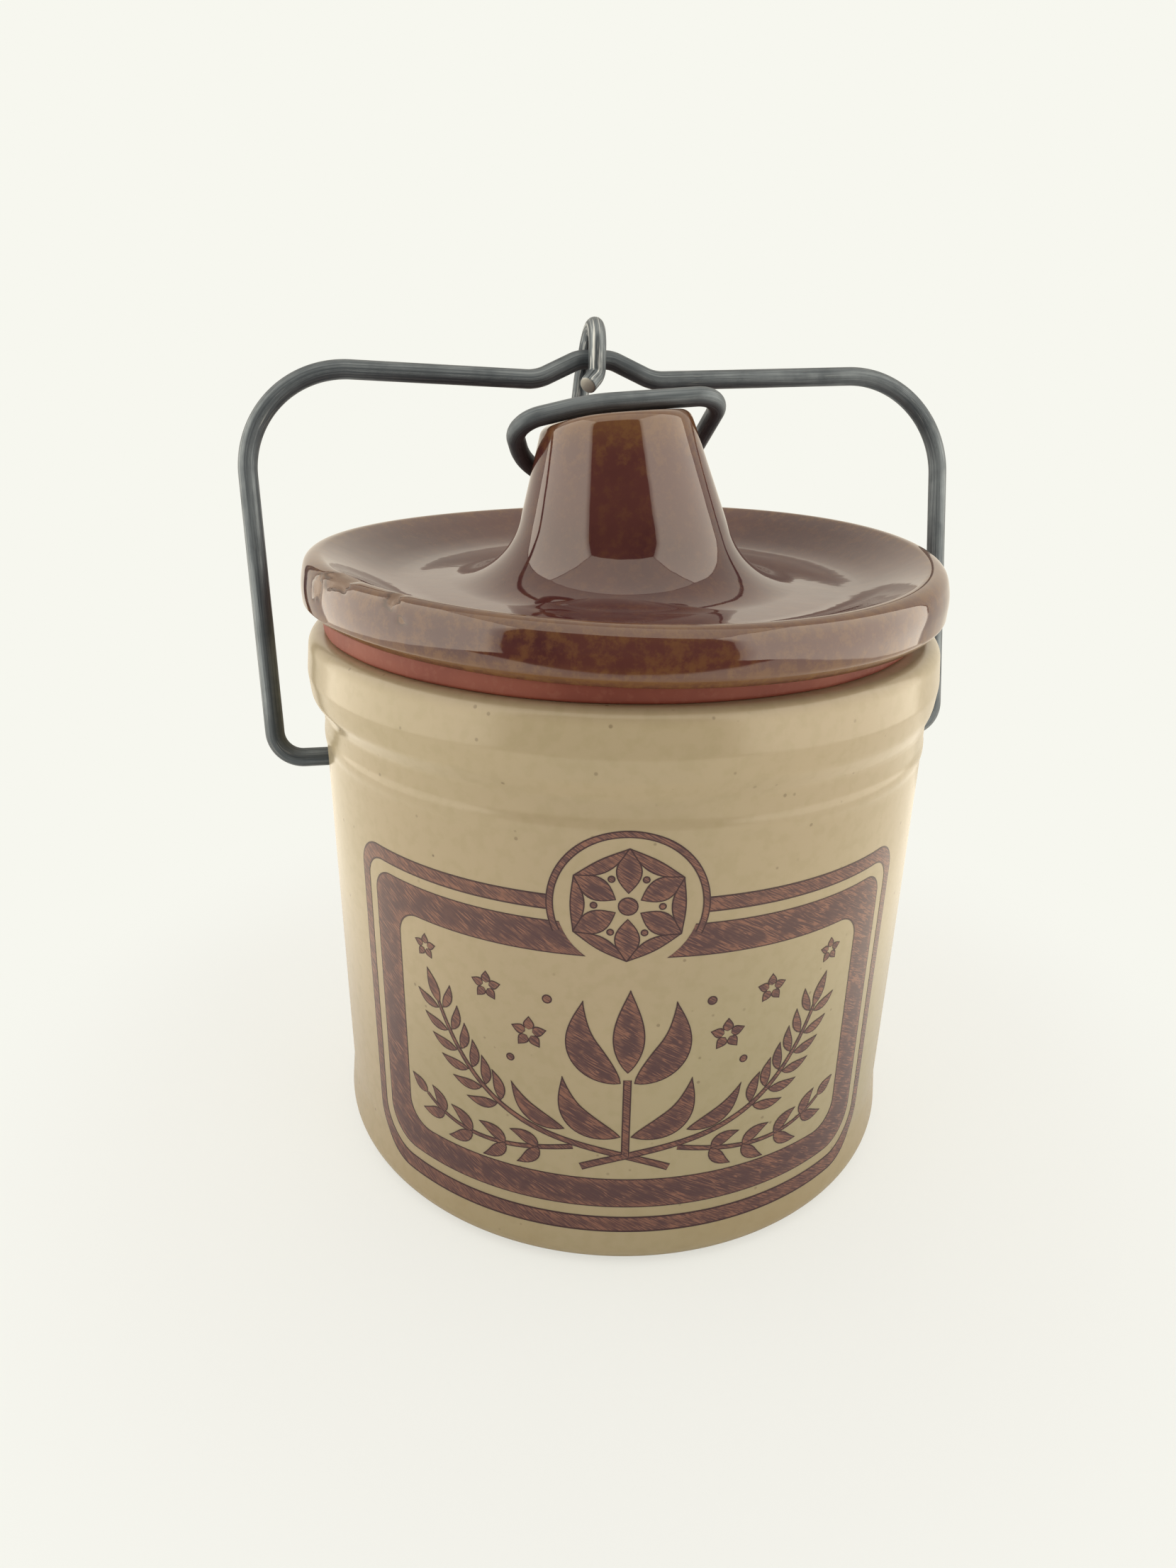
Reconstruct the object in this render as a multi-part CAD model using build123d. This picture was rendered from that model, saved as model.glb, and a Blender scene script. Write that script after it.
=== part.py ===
from build123d import *
import os
from math import cos, radians, sin

# A glazed stoneware crock that stands on a foot ring, with a rubber ring, a glazed lid with a
# leaning knob, a wire bail in two blind wall holes, and a wire lever hooked on the bail's hump.
# Millimetres, +Z up. The origin is on the table, on the crock's axis. The bail swings about X.

# Crock
crock_radius = 60.9
crock_wall = 6.5
crock_height = 110.3
floor_thickness = 7.0
foot_ring_width = 10.0
foot_recess_depth = 1.6
foot_round = 2.8
floor_round = 9.0
rim_band_height = 14.8
rim_band_proud = 2.4
rim_band_taper = 0.8
rim_band_step = 3.2
rim_band_round = 5.0
rim_band_cove = 2.6
rim_outer_round = 3.0
rim_inner_round = 1.6
ridge_below_band = 3.6
ridge_height = 3.6
ridge_proud = 0.35
ridge_round = 2.4

# Rubber ring between the rim and the lid
gasket_thickness = 3.6
gasket_width = 7.5
gasket_play = 0.2
gasket_round = 0.7

# Lid
lid_rim_inset = 0.1
lid_height = 10.3
lid_under_inset = 1.8
lid_bulge_drop = 4.9
lid_crest_inset = 1.5
lid_bulge_round = 9.0
lid_crest_round = 2.3
lid_edge_round = 0.8
dish_depth = 6.0
dish_slope_width = 15.6
dish_round = 24.0
plate_thickness = 6.2
flange_mouth_play = 2.4
flange_depth = 4.0
flange_width = 6.5
flange_taper = 2.0
flange_round = 1.2

# Knob
knob_top_height = 30.3
knob_foot_radius = 23.8
knob_top_radius = 13.7
knob_lean = 4.8
knob_top_tilt = 6.5
knob_shift = 0.5
knob_flare = 15.0
knob_top_round = 2.4
knob_wall = 7.5
knob_hollow_round = 5.0
knob_sink_share = 1.25

# Bail
bail_wire = 3.75
bail_lean = 17.0
bail_shift = 0.5
pivot_drop = 27.2
pivot_depth = 4.6
pivot_end_gap = 0.3
pivot_play = 0.08
bail_clearance = 8.2
bail_spread = 2.5
bail_bar_rise = 2.3
bail_foot_round = 5.5
bail_shoulder_round = 20.0
bail_dip_reach = 12.2
bail_dip_round = 9.0
hump_rise = 10.05
hump_step = 4.1
hump_reach = 3.4
hump_round = 6.0
hump_shift = 2.6

# Lever
lever_wire = 3.6
eye_play = 0.25
eye_height = 6.3
eye_skew = 0.1
eye_tail_reach = 3.4
eye_tail_rise = 4.7
eye_tail_back = 2.0
eye_tail_round = 1.5
shank_bend_offset = 1.9
shank_bend_round = 12.0
shank_offset = 5.0
shank_foot_drop = 19.2
shank_foot_round = 4.0
lever_rest_gap = 0.45
loop_bar_past = 1.5
loop_bar_rise = 1.9
loop_bar_bend_left = 5.4
loop_left_clearance = 9.1
loop_left_droop = 3.4
loop_left_tuck = 3.0
loop_left_back = 10.0
loop_left_drop = 10.4
loop_right_clearance = 4.3
loop_right_tuck = 2.1
loop_right_drop = 17.0
loop_back_clearance = 0.7
loop_end_rise = 3.6
loop_front_round = 5.0
loop_droop_round = 60.0
loop_left_round = 5.0
loop_side_round = 24.0
loop_back_round = 7.0

overrun = 2.0

# Places that follow from the sizes above
mouth_radius = crock_radius - crock_wall
rim_radius = crock_radius + rim_band_proud
lid_radius = rim_radius - lid_rim_inset
lid_under_z = crock_height + gasket_thickness
lid_top_z = lid_under_z + lid_height
dish_z = lid_top_z - dish_depth
flange_radius = mouth_radius - flange_mouth_play
gasket_inner = flange_radius + gasket_play
bail_wire_radius = bail_wire / 2
lever_wire_radius = lever_wire / 2
knob_top_z = dish_z + knob_top_height
knob_sink = knob_foot_radius * sin(radians(knob_lean)) * knob_sink_share
knob_place = Pos(-knob_shift, 0, dish_z) * Rot(0, -knob_lean, 0)
pivot_height = crock_height - pivot_drop
hump_x = -hump_shift
hump_height = (knob_top_z + hump_rise - pivot_height) / cos(radians(bail_lean))
bail_dip_height = hump_height - hump_step
bail_shoulder_height = bail_dip_height + bail_bar_rise
bail_foot_reach = rim_radius + bail_clearance
bail_shoulder_reach = bail_foot_reach + bail_spread


def in_bail(across, along):
    """A point of the bail's plane, which leans back about the pivot line."""
    lean = radians(bail_lean)
    return Vector(across, along * sin(lean), pivot_height + along * cos(lean))


def turned(points, rounds):
    """A solid of revolution about Z from the corners and corner rounds of its half section."""
    corners = [(radius, 0, height) for radius, height in points]
    section = make_face(FilletPolyline(*corners, radius=rounds, close=True))
    return revolve(section, Axis.Z)


def wire(points, rounds, radius):
    """A round wire along straight runs joined by bends."""
    path = FilletPolyline(*points, radius=rounds)
    return sweep(Plane(origin=path @ 0, z_dir=path % 0) * Circle(radius), path)


def crock():
    foot_inner = crock_radius - foot_ring_width
    band_z = crock_height - rim_band_height
    ridge_top = band_z - ridge_below_band
    ridge_mid = ridge_top - ridge_height / 2
    ridge_low = ridge_top - ridge_height
    outline = [
        (0, foot_recess_depth, 0),
        (foot_inner - foot_recess_depth, foot_recess_depth, 0),
        (foot_inner, 0, 0),
        (crock_radius, 0, foot_round),
        (crock_radius, ridge_low, ridge_round),
        (crock_radius + ridge_proud, ridge_mid, ridge_round),
        (crock_radius, ridge_top, ridge_round),
        (crock_radius, band_z, rim_band_cove),
        (rim_radius - rim_band_taper / 2, band_z + rim_band_step, rim_band_cove),
        (rim_radius, crock_height - rim_band_height / 2, rim_band_round),
        (rim_radius - rim_band_taper, crock_height, rim_outer_round),
        (mouth_radius, crock_height, rim_inner_round),
        (mouth_radius, floor_thickness, floor_round),
        (0, floor_thickness, 0),
    ]
    body = turned([corner[:2] for corner in outline], [corner[2] for corner in outline])
    for side in (-1, 1):
        hole_middle = side * (crock_radius - pivot_depth / 2 + overrun / 2)
        hole = Cylinder(bail_wire_radius + pivot_play, pivot_depth + overrun, rotation=(0, 90, 0))
        body -= Pos(hole_middle, 0, pivot_height) * hole
    return body


def gasket():
    outer = gasket_inner + gasket_width
    corners = [
        (gasket_inner, crock_height),
        (outer, crock_height),
        (outer, lid_under_z),
        (gasket_inner, lid_under_z),
    ]
    return turned(corners, [0, gasket_round, gasket_round, 0])


def knob_cone(foot_radius, top_radius, low, high):
    """A cone on the knob's leaning axis, from one height to another above the dish."""
    cone = Cone(foot_radius, top_radius, high - low, align=(Align.CENTER, Align.CENTER, Align.MIN))
    return knob_place * Pos(0, 0, low) * cone


def lid():
    plate_z = dish_z - plate_thickness
    flange_z = crock_height - flange_depth
    flange_inner = flange_radius - flange_width
    crest_radius = lid_radius - lid_crest_inset
    outline = [
        (0, plate_z, 0),
        (flange_inner, plate_z, flange_round),
        (flange_inner, flange_z, flange_round),
        (flange_radius - flange_taper, flange_z, flange_round),
        (flange_radius, lid_under_z, 0),
        (lid_radius - lid_under_inset, lid_under_z, lid_edge_round),
        (lid_radius, lid_top_z - lid_bulge_drop, lid_bulge_round),
        (crest_radius, lid_top_z, lid_crest_round),
        (crest_radius - dish_slope_width, dish_z, dish_round),
        (0, dish_z, 0),
    ]
    plate = turned([corner[:2] for corner in outline], [corner[2] for corner in outline])
    narrowing = (knob_foot_radius - knob_top_radius) / knob_top_height
    sunk_radius = knob_foot_radius + narrowing * knob_sink
    spare_radius = knob_top_radius - narrowing * overrun
    knob = knob_cone(sunk_radius, spare_radius, -knob_sink, knob_top_height + overrun)
    top_turn = Rot(0, knob_lean - knob_top_tilt, 0)
    top_plane = Plane((knob_place * Pos(0, 0, knob_top_height) * top_turn))
    knob = split(knob, bisect_by=top_plane, keep=Keep.BOTTOM)
    body = plate + knob
    body = fillet(new_edges(plate, knob, combined=body), knob_flare)
    body = fillet(body.edges().sort_by(Axis.Z)[-1], knob_top_round)
    hollow_low = -plate_thickness - overrun
    hollow_high = knob_top_height - knob_wall
    hollow_foot = knob_foot_radius - knob_wall - narrowing * hollow_low
    hollow_top = knob_foot_radius - knob_wall - narrowing * hollow_high
    hollow = knob_cone(hollow_foot, hollow_top, hollow_low, hollow_high)
    hollow = fillet(hollow.edges().sort_by(Axis.Z)[-1], knob_hollow_round)
    return body - hollow


def bail():
    end_reach = crock_radius - pivot_depth + pivot_end_gap
    right = [
        in_bail(end_reach, 0),
        in_bail(bail_shift + bail_foot_reach, 0),
        in_bail(bail_shift + bail_shoulder_reach, bail_shoulder_height),
        in_bail(hump_x + bail_dip_reach, bail_dip_height),
        in_bail(hump_x + hump_reach, hump_height),
    ]
    left = [
        in_bail(hump_x - hump_reach, hump_height),
        in_bail(hump_x - bail_dip_reach, bail_dip_height),
        in_bail(bail_shift - bail_shoulder_reach, bail_shoulder_height),
        in_bail(bail_shift - bail_foot_reach, 0),
        in_bail(-end_reach, 0),
    ]
    side_rounds = [bail_foot_round, bail_shoulder_round, bail_dip_round, hump_round]
    return wire(right + left, side_rounds + side_rounds[::-1], bail_wire_radius)


def lever():
    """One wire: a hook over the hump, a shank, and a loop that ends against the shank."""
    hump = in_bail(hump_x, hump_height)
    eye_half = bail_wire_radius + eye_play + lever_wire_radius
    eye_round = eye_half - eye_play / 2
    bar_y = -loop_bar_past
    bar_z = knob_top_z + lever_rest_gap + lever_wire_radius
    back_y = knob_foot_radius + loop_back_clearance
    left_x = -knob_top_radius - loop_left_clearance
    right_x = knob_top_radius + loop_right_clearance
    shank_bend = hump + Vector(-shank_bend_offset, eye_half, -eye_half)
    shank_foot = Vector(hump.X - shank_offset, back_y, bar_z - shank_foot_drop)
    up_shank = (shank_bend - shank_foot).normalized()
    corners = [
        (hump + Vector(-eye_tail_reach, -eye_tail_back, -eye_tail_rise), 0),
        (hump + Vector(eye_play, -eye_half, -eye_half), eye_tail_round),
        (hump + Vector(-eye_play, -eye_half, eye_height), eye_round),
        (hump + Vector(-eye_skew, eye_half, eye_height), eye_round),
        (shank_bend, shank_bend_round),
        (shank_foot, shank_foot_round),
        (Vector(left_x + loop_left_tuck, bar_y + loop_left_back, bar_z - loop_left_drop), loop_side_round),
        (Vector(left_x, bar_y, bar_z - loop_left_droop), loop_left_round),
        (Vector(hump.X - loop_bar_bend_left, bar_y, bar_z), loop_droop_round),
        (Vector(right_x, bar_y, bar_z + loop_bar_rise), loop_front_round),
        (Vector(right_x - loop_right_tuck, back_y, bar_z - loop_right_drop), loop_back_round),
        (shank_foot + up_shank * loop_end_rise, 0),
    ]
    rounds = [corner[1] for corner in corners[1:-1]]
    return wire([corner[0] for corner in corners], rounds, lever_wire_radius)


os.makedirs("parts", exist_ok=True)
pieces = {"crock": crock(), "gasket": gasket(), "lid": lid(), "bail": bail(), "lever": lever()}
for name, piece in pieces.items():
    export_step(piece, f"parts/{name}.step")
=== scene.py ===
"""Looks of a glazed stoneware crock with a glazed lid, a rubber ring, a wire bail and its lever."""

from math import atan2, cos, hypot, pi, radians, sin, sqrt, tan

import bmesh
import bpy
import numpy as np
from mathutils import Matrix


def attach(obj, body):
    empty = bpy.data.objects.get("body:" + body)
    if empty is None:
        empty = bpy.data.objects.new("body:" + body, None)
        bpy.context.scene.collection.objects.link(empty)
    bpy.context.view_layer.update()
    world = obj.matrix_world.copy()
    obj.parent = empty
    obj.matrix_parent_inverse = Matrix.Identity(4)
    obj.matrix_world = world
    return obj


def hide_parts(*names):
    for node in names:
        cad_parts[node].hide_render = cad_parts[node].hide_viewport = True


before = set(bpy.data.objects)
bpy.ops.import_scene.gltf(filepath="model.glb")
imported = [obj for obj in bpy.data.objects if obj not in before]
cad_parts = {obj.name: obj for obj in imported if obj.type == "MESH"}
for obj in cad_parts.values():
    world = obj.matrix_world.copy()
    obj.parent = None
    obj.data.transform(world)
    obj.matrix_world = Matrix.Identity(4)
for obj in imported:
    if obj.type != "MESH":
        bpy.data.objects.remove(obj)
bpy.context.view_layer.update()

# The jar's lengths are in millimetres, and MM turns them into metres.
# Materials, camera and stage use metres.
MM = 0.001

# Crock
crock_radius = 60.9
crock_wall = 6.5
crock_height = 110.3
floor_thickness = 7.0
floor_round = 9.0
foot_ring_width = 10.0
foot_recess = 1.6
foot_round = 4.0
foot_flare = 1.25
foot_flare_height = 12.0
foot_flare_round = 20.0
foot_inner_round = 0.8
band_low = 95.5
band_step = 3.2
band_proud = 2.4
band_taper = 0.8
band_cove = 2.6
band_round = 5.0
rim_outer_round = 3.0
rim_inner_round = 1.6
ridge_low = 88.3
ridge_height = 3.6
ridge_proud = 0.35
ridge_round = 6.0
pivot_height = 83.1
pivot_hole_radius = 1.955
pivot_hole_depth = 4.6
# The lip of each hole, softened by the glaze, as radii and depths
bore_lip = ((2.9, 0), (2.5, 0.04), (2.2, 0.16), (2.03, 0.4), (pivot_hole_radius, 0.8))
# Half the width of the wall that is meshed round a hole, and as many columns, each about 1 mm wide
bore_patch = 4
wall_waver = 0.13
rim_draw = 0.9
# The side of the jar where its rim, rubber and lid lie closer in
draw_azimuth = radians(332)

# Rubber ring
gasket_inner = 52.2
gasket_outer = 59.7
gasket_top = 113.9
gasket_round = 0.7
gasket_inner_round = 0.2
gasket_even_height = 1.0
gasket_waver = 0.25
gasket_draw = 2.8

# Lid and its knob
lid_radius = 63.2
lid_under = gasket_top
lid_under_inset = 1.8
lid_bulge = 119.0
lid_bulge_round = 9.0
lid_top = 124.2
lid_crest_inset = 1.5
lid_crest_round = 3.0
lid_lip = 115.6
lid_lip_inset = 0.15
lid_lip_round = 0.9
lid_edge_round = 0.8
dish_z = 118.2
dish_radius = 46.1
dish_round = 24.0
plate_low = 112.0
flange_low = 106.3
flange_inner = 45.5
flange_tip = 50.0
flange_outer = 52.0
flange_round = 1.2
knob_foot_radius = 23.8
knob_top_radius = 13.7
knob_height = 30.3
knob_lean = radians(4.8)
knob_top_tilt = radians(4.1)
knob_top_rise = 0.6
knob_front_rise_share = 0.08
knob_left_drop = 1.4
knob_right_reach = 0.8
knob_right_azimuth = radians(-20)
knob_shift = 0.5
knob_flare = 15.0
knob_top_round = 2.4
knob_wall = 7.5
knob_hollow_round = 5.0
knob_top_z = dish_z + knob_height
lid_waver = 0.10
# How far the crest stands above its level: all round, once round and twice round, with their azimuths
crest_rise = 1.05
crest_tilt = 1.15
crest_tilt_azimuth = radians(82)
crest_warp = 0.75
crest_warp_azimuth = radians(20)
# Where the crest's unevenness starts and is full in height, and how wide it is full
crest_start = 117.0
crest_full = 122.0
crest_width = 4.0
# How far the lower lip hangs down and lifts, from where it starts to where it is full
lip_start = 118.0
lip_full = 115.0
lip_sag = 0.7
lip_sag_azimuth = radians(300)
lip_lift = 0.9
lip_lift_azimuth = radians(198)
lid_draw = 1.2
flange_clear = 3.0

# Bail
bail_wire = 3.75
bail_lean = radians(17.0)
bail_shift = 0.5
bail_end_reach = 56.6
bail_foot_reach = 71.5
bail_shoulder_reach = 74.0
bail_rounds = (5.5, 20.0, 9.0, 6.0)
hump_rise = 10.05
hump_step = 4.1
bail_bar_rise = 2.3
hump_x = -2.6
dip_reach = 12.2
hump_reach = 3.4

# Lever: its eye on the hump, its shank, and its loop round the knob
lever_wire = 3.6
lever_rest_gap = 0.45
eye_play = 0.25
eye_height = 6.3
eye_skew = 0.1
eye_bend_drop = 2.8
eye_bend_round = 2.2
eye_tail_reach = 2.7
eye_tail_front = 2.6
eye_tail_drop = 4.9
shank_bend_offset = 1.9
shank_bend_round = 12.0
shank_offset = 5.0
shank_foot_drop = 19.2
shank_foot_round = 4.0
loop_bar_past = 1.5
loop_bar_rise = 1.9
loop_bar_bend_left = 5.4
loop_left_clearance = 9.1
loop_left_droop = 3.4
loop_left_tuck = 3.0
loop_left_back = 10.0
loop_left_drop = 10.4
loop_right_clearance = 4.3
loop_right_tuck = 2.1
loop_right_drop = 17.0
loop_back_clearance = 0.7
loop_end_rise = 3.6
loop_front_round = 5.0
loop_droop_round = 60.0
loop_left_round = 5.0
loop_side_round = 24.0
loop_back_round = 7.0


# Geometry helpers


def unit(vector):
    return vector / np.linalg.norm(vector)


def progress(value, start, end):
    """How far a value has come from start to end, held between 0 and 1."""
    return min(1, max(0, (value - start) / (end - start)))


def corner_arc(before, corner, after, radius):
    """The arc that rounds a corner: its start, its turn, and its two directions in its plane."""
    into = unit(corner - before)
    out = unit(after - corner)
    turn = np.arccos(np.clip(into @ out, -1, 1))
    side = unit(out - into * cos(turn))
    return corner - into * radius * tan(turn / 2), turn, into, side


def rounded_path(corners, radii, run_step, arc_step, counts=None):
    """Points along straight runs joined by arcs, with each point's direction.

    The counts of points on each run and arc are made here, or taken from an earlier path, so that
    paths that differ a little still have matching points.
    """
    corners = [np.array(corner, float) for corner in corners]
    made = []
    points, tangents = [], []
    here = corners[0]
    for i, radius in enumerate(list(radii) + [0]):
        corner = corners[i + 1]
        last = i == len(radii)
        if last or radius == 0:
            start, turn = corner, 0
        else:
            start, turn, into, side = corner_arc(corners[i], corner, corners[i + 2], radius)
        length = np.linalg.norm(start - here)
        run_count = counts[len(made)] if counts else max(1, round(length / run_step))
        made.append(run_count)
        direction = unit(corner - corners[i])
        for k in range(run_count):
            points.append(here + (start - here) * k / run_count)
            tangents.append(direction)
        if turn:
            arc_count = counts[len(made)] if counts else max(3, round(radius * turn / arc_step))
            made.append(arc_count)
            centre = start + side * radius
            for k in range(arc_count):
                angle = turn * k / arc_count
                points.append(centre - side * radius * cos(angle) + into * radius * sin(angle))
                tangents.append(into * cos(angle) + side * sin(angle))
            here = centre - side * radius * cos(turn) + into * radius * sin(turn)
        else:
            here = start
    points.append(here)
    tangents.append(unit(corners[-1] - corners[-2]))
    return np.array(points), np.array(tangents), made


def section_path(corners, run_step, arc_step, counts=None):
    """A half section through corners that give radius, height and rounding, and its counts."""
    places = [corner[:2] for corner in corners]
    rounds = [corner[2] for corner in corners[1:-1]]
    points, _, counts = rounded_path(places, rounds, run_step, arc_step, counts)
    return points, counts


def add_object(name, data):
    made = bpy.data.objects.new(name, data)
    bpy.context.scene.collection.objects.link(made)
    return made


def placed(spot, right, up, back):
    """The matrix of an object at a spot that looks away from its back."""
    return Matrix.Translation(spot) @ Matrix((right, up, back)).transposed().to_4x4()


def new_object(name, points, faces, smooth_angle=None, sheet=False):
    """A mesh object from points in millimetres. Its normals face out, a sheet's from the Z axis."""
    mesh = bpy.data.meshes.new(name)
    mesh.from_pydata((np.array(points) * MM).tolist(), [], faces)
    work = bmesh.new()
    work.from_mesh(mesh)
    if sheet:
        for face in work.faces:
            middle = face.calc_center_median()
            if face.normal.x * middle.x + face.normal.y * middle.y < 0:
                face.normal_flip()
    else:
        bmesh.ops.recalc_face_normals(work, faces=work.faces)
    work.to_mesh(mesh)
    work.free()
    mesh.shade_smooth()
    if smooth_angle:
        mesh.set_sharp_from_angle(angle=smooth_angle)
    return add_object(name, mesh)


def give_attribute(piece, name, values):
    layer = piece.data.attributes.new(name, "FLOAT", "POINT")
    layer.data.foreach_set("value", np.array(values, np.float32))


def give_uv(piece, name, coordinates):
    """A UV map from one pair of numbers for each vertex."""
    layer = piece.data.uv_layers.new(name=name)
    loops = np.zeros(len(piece.data.loops), np.int32)
    piece.data.loops.foreach_get("vertex_index", loops)
    layer.data.foreach_set("uv", np.array(coordinates, np.float32)[loops].ravel())


def mount(piece, body, node, material):
    """Rides the piece on its body, in place of its CAD node, with its finish."""
    piece.data.materials.append(material)
    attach(piece, body)
    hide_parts(node)


# Turned pieces


class Turned:
    """A closed piece round the Z axis, from half sections that all have as many points."""

    def __init__(self, sections, place):
        self.turns = len(sections)
        self.rows = len(sections[0])
        self.points = [place(0, *sections[0][0])]
        self.faces = []
        for k, section in enumerate(sections):
            angle = 2 * pi * k / self.turns
            self.points += [place(angle, *point) for point in section[1:-1]]
        self.points.append(place(0, *sections[0][-1]))

    def index(self, k, i):
        """The number of the point in column k and row i. The first and last rows are one point each."""
        if i == 0:
            return 0
        if i == self.rows - 1:
            return self.turns * (self.rows - 2) + 1
        return (k % self.turns) * (self.rows - 2) + i

    def skin(self, gaps=()):
        """Faces between neighbouring sections, apart from the cells inside the gaps."""
        for k in range(self.turns):
            for i in range(self.rows - 1):
                if any(k in columns and i in rows for columns, rows in gaps):
                    continue
                ring = [self.index(k, i), self.index(k, i + 1)]
                ring += [self.index(k + 1, i + 1), self.index(k + 1, i)]
                self.faces.append(list(dict.fromkeys(ring)))


def waver(angle, z):
    """A slow unevenness of hand-finished clay, from 0 down to -1."""
    wave = sin(2 * angle + 0.031 * z + 1.1) + 0.7 * sin(5 * angle - 0.055 * z + 0.4)
    wave += 0.6 * sin(9 * angle + 0.083 * z + 2.3) + 0.5 * sin(3 * angle + 0.17 * z)
    return wave / 5.6 - 0.5


def side_share(angle):
    """How much an azimuth faces the side where the rim and lid are drawn in, from 0 to 1."""
    return max(0, cos(angle - draw_azimuth)) ** 2


def crock_outline():
    rim_radius = crock_radius + band_proud
    foot_inner = crock_radius - foot_ring_width
    mouth = crock_radius - crock_wall
    return [
        (0, foot_recess, 0),
        (foot_inner - foot_recess, foot_recess, foot_inner_round),
        (foot_inner, 0, foot_inner_round),
        (crock_radius + foot_flare, 0, foot_round),
        (crock_radius, foot_flare_height, foot_flare_round),
        (crock_radius, ridge_low, ridge_round),
        (crock_radius + ridge_proud, ridge_low + ridge_height / 2, ridge_round),
        (crock_radius, ridge_low + ridge_height, ridge_round),
        (crock_radius, band_low, band_cove),
        (rim_radius - band_taper / 2, band_low + band_step, band_cove),
        (rim_radius, (band_low + crock_height) / 2, band_round),
        (rim_radius - band_taper, crock_height, rim_outer_round),
        (mouth, crock_height, rim_inner_round),
        (mouth, floor_thickness, floor_round),
        (0, floor_thickness, 0),
    ]


crock_turns = 384
crock_section, _ = section_path(crock_outline(), run_step=1.0, arc_step=0.35)
wall_inside = crock_radius - foot_round
wall_high = crock_height - rim_outer_round
outer_rows = [i for i, (r, z) in enumerate(crock_section) if r > wall_inside and z < wall_high]
wall_radii, wall_heights = np.array([crock_section[i] for i in outer_rows]).T


def wall_radius(angle, z):
    """The radius of the crock's outer wall at an azimuth from +X and a height."""
    return np.interp(z, wall_heights, wall_radii) + wall_waver * waver(angle, z)


def crock_place(angle, r, z):
    fade = progress(z, 0, foot_round) * min(1, r / crock_radius)
    rim = progress(z, band_low, band_low + band_step)
    r += (wall_waver * waver(angle, z) - rim_draw * side_share(angle) * rim) * fade
    return (r * cos(angle), r * sin(angle), z)


def add_bore(body, side):
    """Opens a round blind hole in the wall, its lip softened by the glaze."""
    middle = 0 if side > 0 else body.turns // 2
    start, end = middle - bore_patch, middle + bore_patch
    rows = [i for i in outer_rows if abs(crock_section[i][1] - pivot_height) <= bore_patch]
    first, last = rows[0], rows[-1]
    loop = [(k, first) for k in range(start, end)]
    loop += [(end, i) for i in range(first, last)]
    loop += [(k, last) for k in range(end, start, -1)]
    loop += [(start, i) for i in range(last, first, -1)]
    turn = 2 * pi / body.turns
    edge = [((k - middle) * turn * crock_radius, crock_section[i][1] - pivot_height) for k, i in loop]
    rings = [(share, *bore_lip[0]) for share in (0.25, 0.5, 0.75)]
    rings += [(1, *ring) for ring in bore_lip]
    rings.append((1, pivot_hole_radius, pivot_hole_depth))
    before = [body.index(k, i) for k, i in loop]
    for share, radius, depth in rings:
        ring = []
        for a, b in edge:
            scale = 1 + (radius / hypot(a, b) - 1) * share
            angle = middle * turn + a * scale / crock_radius
            z = pivot_height + b * scale
            r = wall_radius(angle, z) - depth
            ring.append(len(body.points))
            body.points.append((r * cos(angle), r * sin(angle), z))
        for n in range(len(ring)):
            after = (n + 1) % len(ring)
            body.faces.append([before[n], before[after], ring[after], ring[n]])
        before = ring
    body.faces.append(before)
    return {k % body.turns for k in range(start, end)}, set(range(first, last))


def make_crock():
    body = Turned([crock_section] * crock_turns, crock_place)
    gaps = [add_bore(body, side) for side in (1, -1)]
    body.skin(gaps)
    return new_object("crock_body", body.points, body.faces)


def cone_radius_at(angle, z, foot_radius):
    """Where the knob's leaning cone lies at a height, out from the lid's axis at an azimuth."""
    narrowing = (knob_foot_radius - knob_top_radius) / knob_height
    low, high = 0, lid_radius
    for _ in range(40):
        middle = (low + high) / 2
        x = middle * cos(angle) + knob_shift
        y = middle * sin(angle)
        up = z - dish_z
        along = up * cos(knob_lean) - x * sin(knob_lean)
        across = x * cos(knob_lean) + up * sin(knob_lean)
        if hypot(across, y) < foot_radius - narrowing * along:
            low = middle
        else:
            high = middle
    return (low + high) / 2


def knob_top_height(angle, r):
    """The height of the knob's uneven top, which tilts, rises to the front and drops off on the left."""
    middle_x = -knob_shift - knob_height * sin(knob_lean)
    middle_z = dish_z + knob_height * cos(knob_lean) + knob_top_rise
    tilt = (r * cos(angle) - middle_x) * tan(knob_top_tilt) - r * sin(angle) * knob_front_rise_share
    drop = knob_left_drop * max(0, -cos(angle)) ** 6 * min(1, r / knob_top_radius)
    return middle_z + tilt - drop


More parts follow.
